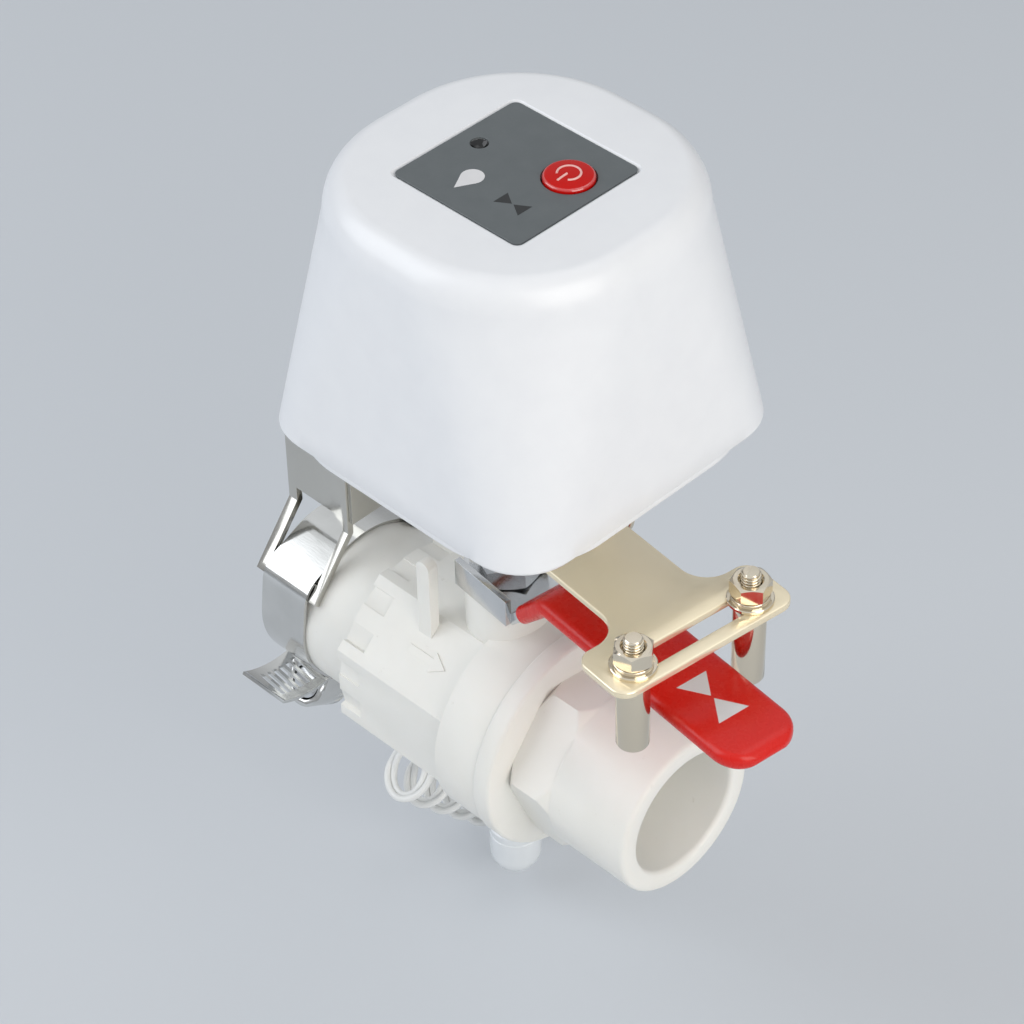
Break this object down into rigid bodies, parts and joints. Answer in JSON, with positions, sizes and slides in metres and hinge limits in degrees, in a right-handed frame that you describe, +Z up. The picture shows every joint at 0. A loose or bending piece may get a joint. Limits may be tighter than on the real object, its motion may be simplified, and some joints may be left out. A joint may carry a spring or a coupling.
{
  "type": "smart water valve",
  "caption": "Motor controller in a tapered square housing, clamped by a bracket over a plastic ball valve, whose lever is turned by a slotted arm with pillars; curled supply lead.",
  "frame": {"origin": "centre of the inlet socket's mouth, on the pipe axis", "axes": "+X along the pipe axis towards the outlet, +Z up along the valve stem towards the controller, +Y to the side of the hanging lead"},
  "size_m": [0.1354, 0.0796, 0.2291],
  "materials": {
    "valve_white": "warm white moulded valve plastic, satin",
    "seal_white": "white seat and ball plastic",
    "black_rubber": "black O-ring rubber",
    "stem_brass": "machined brass",
    "zinc_steel": "zinc plated steel",
    "red_vinyl": "glossy red dipped vinyl",
    "stainless_band": "polished stainless strip",
    "bright_plate": "bright nickel plated sheet, mirror-like",
    "nickel": "warm nickel plating",
    "housing_white": "cool white moulded ABS, satin gloss",
    "label_grey": "mid grey printed film",
    "button_red": "glossy red",
    "lens_dark": "smoked lens",
    "board_green": "green circuit board",
    "dark_parts": "moulded electronic parts",
    "brass_gear": "sintered brass",
    "gear_white": "natural acetal",
    "cord_white": "white vinyl cord",
    "cap_white": "translucent white cap"
  },
  "bodies": {
    "fixed": {"valve_body": "valve_white", "end_cap": "valve_white", "body_seal": "black_rubber", "rear_seat": "seal_white", "front_seat": "seal_white", "clamp_band": "stainless_band", "clamp_housing": "stainless_band", "clamp_bracket": "bright_plate", "bracket_screws": "zinc_steel", "base_plate": "housing_white", "housing_shell": "housing_white", "label_panel": "label_grey", "led_lens": "lens_dark", "circuit_board": "board_green", "board_parts": "dark_parts", "gear_plate": "zinc_steel", "gear_motor": "zinc_steel", "shaft_bush": "brass_gear", "clutch_spring": "zinc_steel", "base_screws": "zinc_steel", "cord_gland": "cord_white", "cord_lead": "cord_white", "cord_curl": "cord_white", "cord_tail": "cord_white", "cord_tie": "cord_white", "cord_plug": "cord_white", "plug_cap": "cap_white"},
    "arm": {"output_gear": "gear_white", "output_shaft": "zinc_steel", "drive_arm": "nickel", "arm_screw": "zinc_steel"},
    "lever": {"ball": "seal_white", "stem": "stem_brass", "stem_rings": "black_rubber", "lever_plate": "zinc_steel", "lever_grip": "red_vinyl", "lever_nut": "zinc_steel"},
    "pinion": {"drive_pinion": "brass_gear"},
    "button": {"power_button": "button_red"},
    "clutch": {"clutch_pin": "nickel"},
    "ring": {"pull_ring": "nickel"},
    "clamp_worm": {"clamp_screw": "zinc_steel"},
    "pillar_left": {"left_pillar": "nickel", "left_washers": "nickel", "left_nut": "nickel"},
    "pillar_right": {"right_pillar": "nickel", "right_washers": "nickel", "right_nut": "nickel"}
  },
  "joints": [
    {"name": "arm_turn", "type": "hinge", "parent": "fixed", "child": "arm", "pos_m": [0.055, 0, 0.06], "axis": [0, 0, -1], "range_deg": [-7, 83]},
    {"name": "lever_turn", "type": "hinge", "parent": "fixed", "child": "lever", "pos_m": [0.055, 0, 0.033], "axis": [0, 0, -1], "range_deg": [-7, 83]},
    {"name": "pinion_turn", "type": "hinge", "parent": "fixed", "child": "pinion", "pos_m": [0.079, 0, 0.087], "axis": [0, 0, -1], "range_deg": [-250, 22]},
    {"name": "button_press", "type": "slide", "parent": "fixed", "child": "button", "axis": [0, 0, -1], "range_m": [0, 0.0008], "stiffness_N_per_m": 800},
    {"name": "clutch_pull", "type": "slide", "parent": "fixed", "child": "clutch", "axis": [0, 0, -1], "range_m": [0, 0.004], "stiffness_N_per_m": 900, "springref_m": -0.002, "deforming": ["clutch_spring"]},
    {"name": "ring_swing", "type": "hinge", "parent": "clutch", "child": "ring", "pos_m": [0.066, 0.014, 0.0612], "axis": [1, 0, 0], "range_deg": [-20, 70]},
    {"name": "clamp_screw_turn", "type": "hinge", "parent": "fixed", "child": "clamp_worm", "pos_m": [0.007, -0.01162, -0.02014], "axis": [0, -0.866, 0.5], "continuous": true},
    {"name": "left_pillar_slide", "type": "slide", "parent": "arm", "child": "pillar_left", "axis": [-0.1219, -0.9925, 0], "range_m": [-0.0012, 0.0012]},
    {"name": "right_pillar_slide", "type": "slide", "parent": "arm", "child": "pillar_right", "axis": [0.1219, 0.9925, 0], "range_m": [-0.0012, 0.0012]}
  ],
  "couplings": [
    {"joint": "lever_turn", "follows": "arm_turn", "ratio": 1},
    {"joint": "pinion_turn", "follows": "arm_turn", "ratio": -3}
  ]
}
